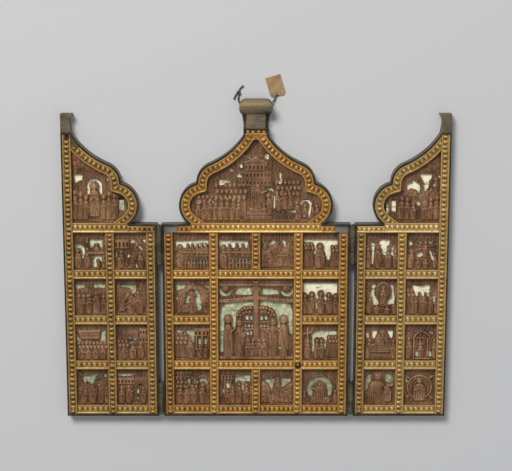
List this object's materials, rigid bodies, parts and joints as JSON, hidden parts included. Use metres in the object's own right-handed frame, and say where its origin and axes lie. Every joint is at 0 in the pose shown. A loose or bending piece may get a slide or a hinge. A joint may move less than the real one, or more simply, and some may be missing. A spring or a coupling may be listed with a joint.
{
  "type": "folding travel icon",
  "caption": "Folding travelling icon: a centre leaf with an ogee gable and two hinged half-width wings, carved panels over mica, gilt strips, rolled suspension head.",
  "frame": {"origin": "middle of the centre leaf's rectangular back, on the face that it lies on", "axes": "+X across the open icon to its right wing, +Y towards the suspension head, +Z out of the front"},
  "size_m": [0.305, 0.2769, 0.0117],
  "materials": {
    "tarnished_case": "tarnished, dark greenish grey, matt",
    "grey_sheet": "dull grey sheet",
    "gilt_strip": "stamped gilt sheet, worn, dark in the recesses",
    "nails": "worn gilt heads",
    "carved_wood": "fine-grained reddish brown wood, oiled",
    "core_wood": "plain dark wood",
    "mica": "pale silvery mica",
    "hinge_pin": "dull iron wire",
    "string": "dark grey-green twisted string",
    "paper_tag": "plain tan paper card"
  },
  "bodies": {
    "centre_leaf": {"centre_case": "tarnished_case", "centre_core_board": "core_wood", "centre_gable_panel": "carved_wood", "centre_gable_strips": "gilt_strip", "centre_large_panel": "carved_wood", "centre_mica_sheets": "mica", "centre_nails": "nails", "centre_posts": "gilt_strip", "centre_rails": "gilt_strip", "centre_row_1_panel_1": "carved_wood", "centre_row_1_panel_2": "carved_wood", "centre_row_1_panel_3": "carved_wood", "centre_row_1_panel_4": "carved_wood", "centre_row_2_panel_1": "carved_wood", "centre_row_2_panel_4": "carved_wood", "centre_row_3_panel_1": "carved_wood", "centre_row_3_panel_4": "carved_wood", "centre_row_4_panel_1": "carved_wood", "centre_row_4_panel_2": "carved_wood", "centre_row_4_panel_3": "carved_wood", "centre_row_4_panel_4": "carved_wood", "centre_window_frame": "grey_sheet", "inventory_tag": "paper_tag", "left_hinge_fixed_half": "tarnished_case", "left_hinge_pins": "hinge_pin", "right_hinge_fixed_half": "tarnished_case", "right_hinge_pins": "hinge_pin", "string_knot": "string", "suspension_head": "tarnished_case", "tag_string": "string"},
    "left_wing": {"left_case": "tarnished_case", "left_core_board": "core_wood", "left_gable_panel": "carved_wood", "left_gable_strip": "gilt_strip", "left_head_half": "tarnished_case", "left_hinge_half": "tarnished_case", "left_mica_sheets": "mica", "left_nails": "nails", "left_posts": "gilt_strip", "left_rails": "gilt_strip", "left_row_1_panels": "carved_wood", "left_row_2_panels": "carved_wood", "left_row_3_panels": "carved_wood", "left_row_4_panels": "carved_wood", "left_window_frame": "grey_sheet"},
    "right_wing": {"right_case": "tarnished_case", "right_core_board": "core_wood", "right_gable_panel": "carved_wood", "right_gable_strip": "gilt_strip", "right_head_half": "tarnished_case", "right_hinge_half": "tarnished_case", "right_mica_sheets": "mica", "right_nails": "nails", "right_posts": "gilt_strip", "right_rails": "gilt_strip", "right_row_1_panels": "carved_wood", "right_row_2_panels": "carved_wood", "right_row_3_panels": "carved_wood", "right_row_4_panels": "carved_wood", "right_window_frame": "grey_sheet"}
  },
  "joints": [
    {"name": "left_wing_hinge", "type": "hinge", "parent": "centre_leaf", "child": "left_wing", "pos_m": [-0.0764, 0, 0.0094], "axis": [0, 1, 0], "range_deg": [0, 180]},
    {"name": "right_wing_hinge", "type": "hinge", "parent": "centre_leaf", "child": "right_wing", "pos_m": [0.0764, 0, 0.0094], "axis": [0, -1, 0], "range_deg": [0, 180]}
  ]
}
